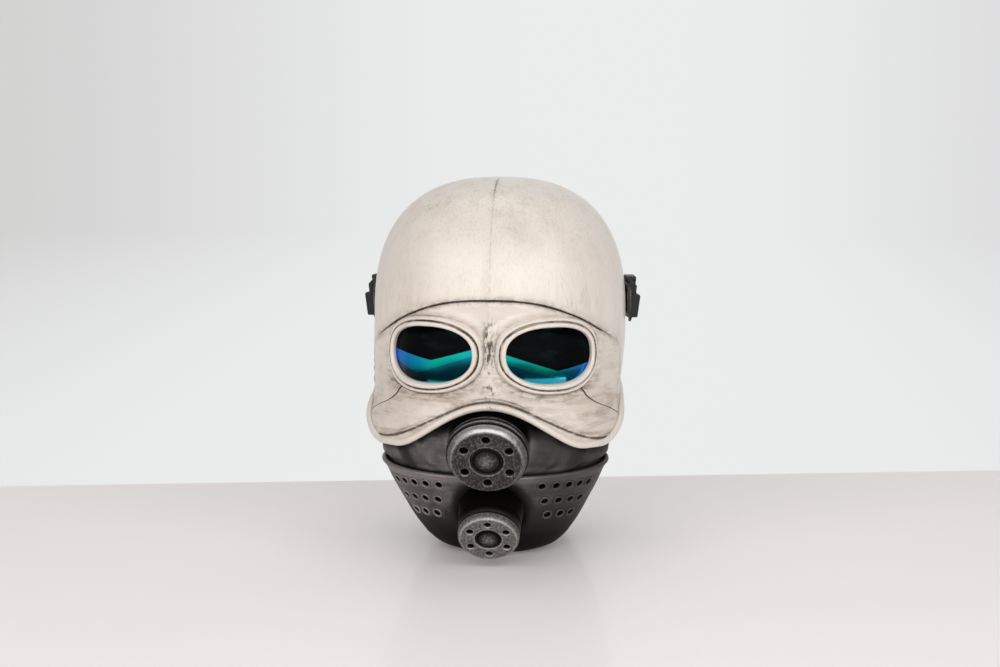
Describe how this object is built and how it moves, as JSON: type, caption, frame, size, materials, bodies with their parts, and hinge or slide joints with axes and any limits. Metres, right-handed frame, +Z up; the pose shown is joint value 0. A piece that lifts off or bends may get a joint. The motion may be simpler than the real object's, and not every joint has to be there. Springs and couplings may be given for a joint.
{
  "type": "costume helmet",
  "caption": "Costume helmet of the gas-mask kind: ivory dome and face, dark mirrored eyepieces, filter canisters, perforated chin guard and a buckled strap.",
  "frame": {"origin": "on the surface that the helmet stands on, under the middle of its box", "axes": "+Z up, the face towards -Y, +X towards the wearer's left side"},
  "size_m": [0.2266, 0.267, 0.297],
  "materials": {
    "ivory_paint": "satin ivory paint with brown dry-brushed wear",
    "gunmetal_paint": "dark gunmetal paint with silver dry-brushed edges",
    "filter_metal": "mottled worn grey metal paint",
    "mirror_lens": "near-black mirrored plastic with blue and teal sheen",
    "black_plastic": "black moulded plastic, worn on its edges",
    "black_webbing": "black woven webbing"
  },
  "bodies": {
    "root": {"helmet_shell": "ivory_paint", "eyepiece_rim_left": "ivory_paint", "eyepiece_rim_right": "ivory_paint", "lens_left": "mirror_lens", "lens_right": "mirror_lens", "muzzle": "gunmetal_paint", "upper_filter": "filter_metal", "upper_filter_cap": "filter_metal", "lower_filter": "filter_metal", "lower_filter_cap": "filter_metal", "chin_guard": "gunmetal_paint", "nape_guard": "gunmetal_paint", "head_strap": "black_webbing", "buckle_base_left": "black_plastic", "buckle_base_right": "black_plastic", "strap_buckle_left": "black_plastic", "strap_buckle_right": "black_plastic"}
  },
  "joints": []
}
